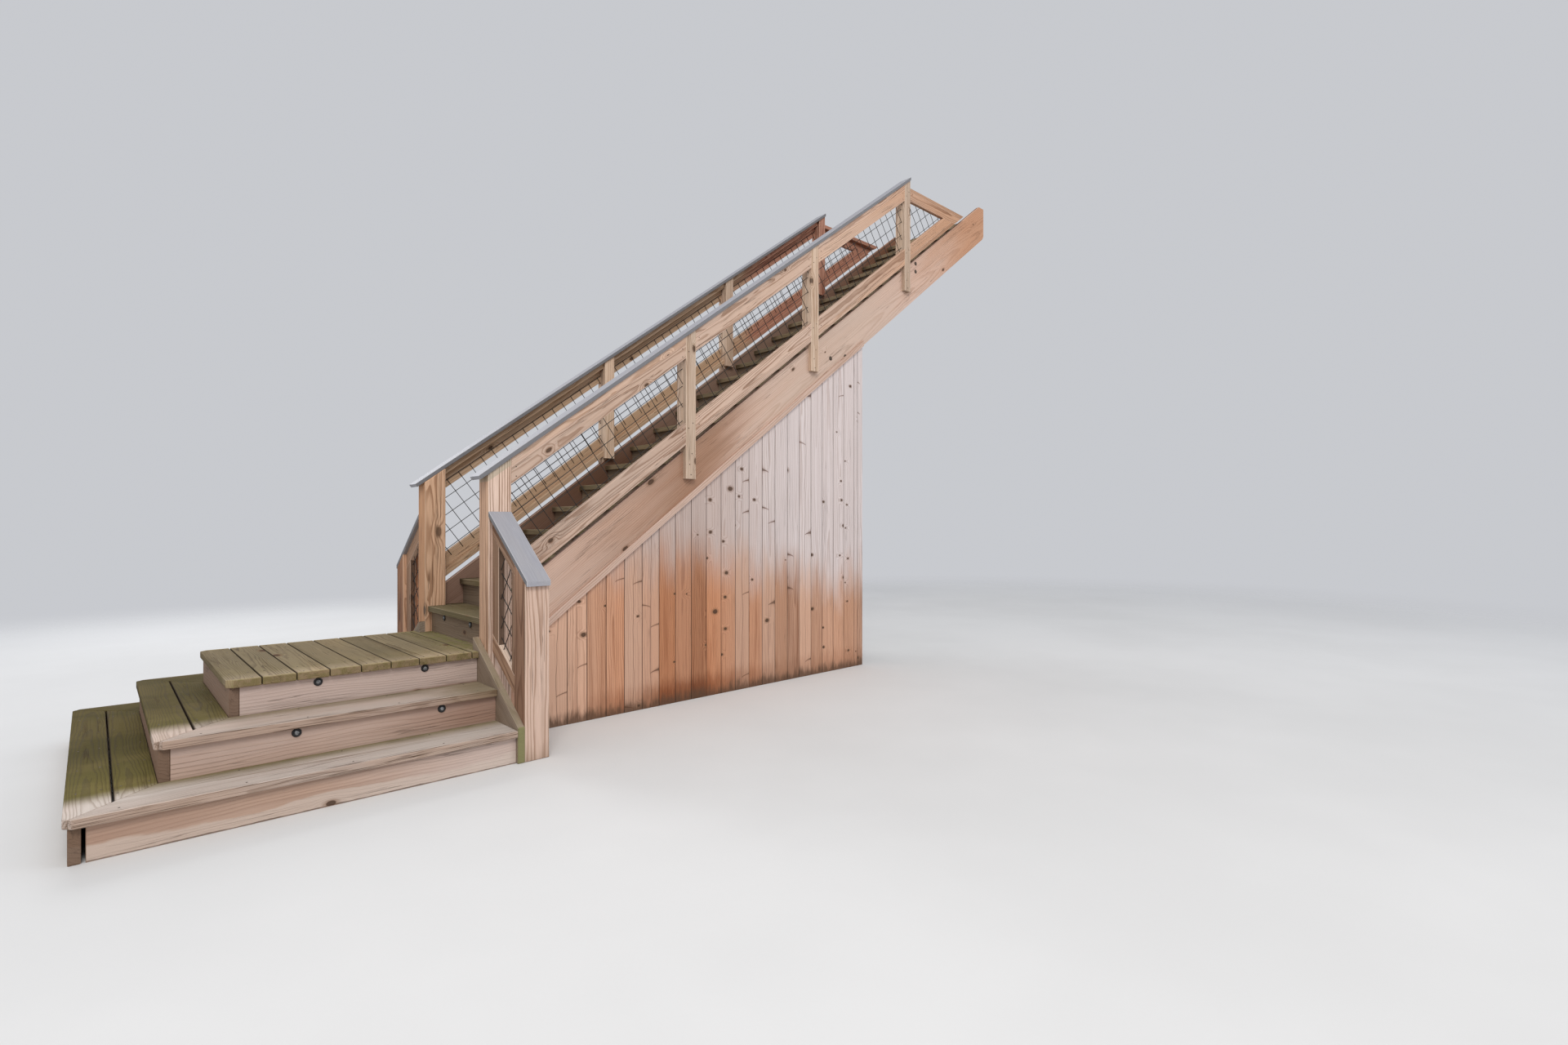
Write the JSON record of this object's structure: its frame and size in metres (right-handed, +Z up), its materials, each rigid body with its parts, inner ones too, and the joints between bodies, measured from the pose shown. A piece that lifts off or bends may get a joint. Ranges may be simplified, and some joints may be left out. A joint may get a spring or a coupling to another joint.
{
  "type": "exterior timber stair",
  "caption": "Straight timber stair for a raised building: wrap-round steps and platform at the foot, wire-filled guards with capped rails, boarded sides.",
  "frame": {"origin": "bottom centre of the overall box, on the ground", "axes": "+X along the flight towards its high end, +Y across it, +Z up"},
  "size_m": [7.346, 2.312, 4.8465],
  "materials": {
    "deck_timber": "weathered, algae stained",
    "stair_timber": "weathered",
    "rail_timber": "weathered",
    "boarding_timber": "weathered, paler at the top",
    "composite": "matte",
    "wire": "matte black",
    "lamp": "matte black"
  },
  "bodies": {
    "root": {"step_1_risers": "stair_timber", "step_1_treads": "deck_timber", "step_1_bearers": "stair_timber", "step_2_risers": "stair_timber", "step_2_treads": "deck_timber", "step_2_bearers": "stair_timber", "platform_risers": "stair_timber", "platform_boards": "deck_timber", "platform_joists": "stair_timber", "step_lights": "lamp", "near_newel": "stair_timber", "far_newel": "stair_timber", "near_wing_newel": "stair_timber", "far_wing_newel": "stair_timber", "near_wing_skirt": "stair_timber", "far_wing_skirt": "stair_timber", "near_wing_frame": "rail_timber", "far_wing_frame": "rail_timber", "near_wing_wire": "wire", "far_wing_wire": "wire", "near_wing_cap": "composite", "far_wing_cap": "composite", "near_stringer": "stair_timber", "far_stringer": "stair_timber", "flight_treads": "stair_timber", "flight_risers": "stair_timber", "near_posts": "rail_timber", "far_posts": "rail_timber", "near_top_rail": "rail_timber", "far_top_rail": "rail_timber", "near_bottom_rail": "rail_timber", "far_bottom_rail": "rail_timber", "near_level_rail": "rail_timber", "far_level_rail": "rail_timber", "near_cap": "composite", "far_cap": "composite", "near_wire": "wire", "far_wire": "wire", "near_boarding": "boarding_timber", "far_boarding": "boarding_timber", "near_trim": "boarding_timber", "far_trim": "boarding_timber", "near_wall_frame": "stair_timber", "far_wall_frame": "stair_timber"}
  },
  "joints": []
}
